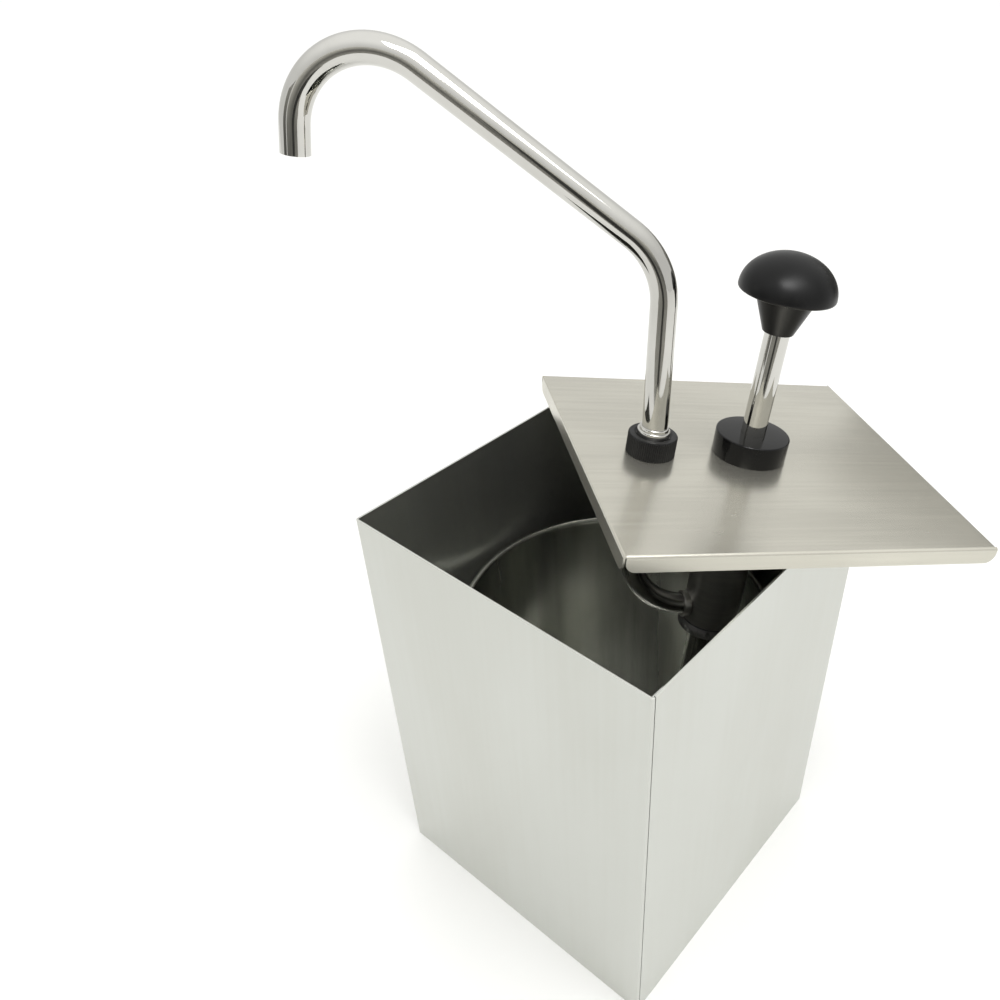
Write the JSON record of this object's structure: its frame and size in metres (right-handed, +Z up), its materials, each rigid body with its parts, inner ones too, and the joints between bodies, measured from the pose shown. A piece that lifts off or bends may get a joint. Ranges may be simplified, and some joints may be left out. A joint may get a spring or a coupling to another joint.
{
  "type": "condiment pump dispenser",
  "caption": "Square steel housing with a round lift-out pot and a lid carrying a plunger pump with a tall gooseneck spout.",
  "frame": {"origin": "centre of the housing's underside", "axes": "+Z up, +X and +Y along the housing's sides, the butt seam on the +X wall beside the +X -Y corner"},
  "size_m": [0.3036, 0.285, 0.457],
  "materials": {
    "housing_steel": "satin stainless sheet",
    "pot_steel": "drawn stainless, brushed streaks",
    "lid_steel": "brushed stainless sheet",
    "polished_steel": "mirror-polished stainless tube",
    "pump_steel": "turned stainless",
    "cap_plastic": "gloss black",
    "knob_plastic": "satin black",
    "nut_plastic": "matt black, knurled",
    "pump_plastic": "natural white moulding",
    "seal_rubber": "food-grade rubber",
    "insert_brass": "machined"
  },
  "bodies": {
    "housing": {"housing_shell": "housing_steel", "housing_base": "housing_steel"},
    "pot": {"inner_pot": "pot_steel"},
    "lid": {"lid": "lid_steel", "lid_lip_front": "lid_steel", "lid_lip_right": "lid_steel", "lid_lip_back": "lid_steel", "lid_lip_left": "lid_steel", "barrel": "pump_steel", "barrel_gasket": "seal_rubber", "foot_valve": "pump_steel", "foot_seal": "seal_rubber", "ball_cage": "pump_steel", "dip_tube": "pump_steel", "return_spring": "pump_steel", "riser_tube": "polished_steel", "outlet_stub": "pump_steel", "spout_seal": "seal_rubber"},
    "cap_nut": {"cap_nut": "cap_plastic", "rod_wiper": "seal_rubber", "rod_bush": "pump_plastic"},
    "plunger": {"plunger_rod": "polished_steel", "rod_plug": "pump_steel", "piston": "pump_plastic", "piston_seal": "seal_rubber", "piston_washer": "pump_steel", "piston_screw": "pump_steel", "knob": "knob_plastic", "knob_insert": "insert_brass"},
    "inlet_ball": {"inlet_ball": "polished_steel"},
    "outlet_ball": {"outlet_ball": "polished_steel"},
    "spout_nut": {"spout_nut": "nut_plastic"},
    "spout": {"spout_ferrule": "polished_steel", "spout_tube": "polished_steel"}
  },
  "joints": [
    {"name": "pot_lift", "type": "slide", "parent": "housing", "child": "pot", "axis": [0, 0, 1], "range_m": [0, 0.27]},
    {"name": "lid_lift", "type": "slide", "parent": "pot", "child": "lid", "axis": [0, 0, 1], "range_m": [0, 0.28]},
    {"name": "plunger_stroke", "type": "slide", "parent": "lid", "child": "plunger", "axis": [-0.0342, -0.1682, -0.9852], "range_m": [0, 0.044], "stiffness_N_per_m": 300, "springref_m": -0.02, "deforming": ["return_spring"]},
    {"name": "cap_nut_turn", "type": "hinge", "parent": "lid", "child": "cap_nut", "pos_m": [0.0316, 0.06822, 0.26539], "axis": [0.0342, 0.1682, 0.9852], "range_deg": [0, 90]},
    {"name": "spout_swivel", "type": "hinge", "parent": "lid", "child": "spout", "pos_m": [-0.00078, 0.02618, 0.27368], "axis": [0.0342, 0.1682, 0.9852], "range_deg": [-100, 100]},
    {"name": "spout_nut_turn", "type": "hinge", "parent": "lid", "child": "spout_nut", "pos_m": [-0.00078, 0.02618, 0.27368], "axis": [0.0342, 0.1682, 0.9852], "range_deg": [0, 180]},
    {"name": "inlet_ball_lift", "type": "slide", "parent": "lid", "child": "inlet_ball", "axis": [0.0342, 0.1682, 0.9852], "range_m": [0, 0.003]},
    {"name": "outlet_ball_lift", "type": "slide", "parent": "lid", "child": "outlet_ball", "axis": [0.0342, 0.1682, 0.9852], "range_m": [0, 0.002]}
  ]
}
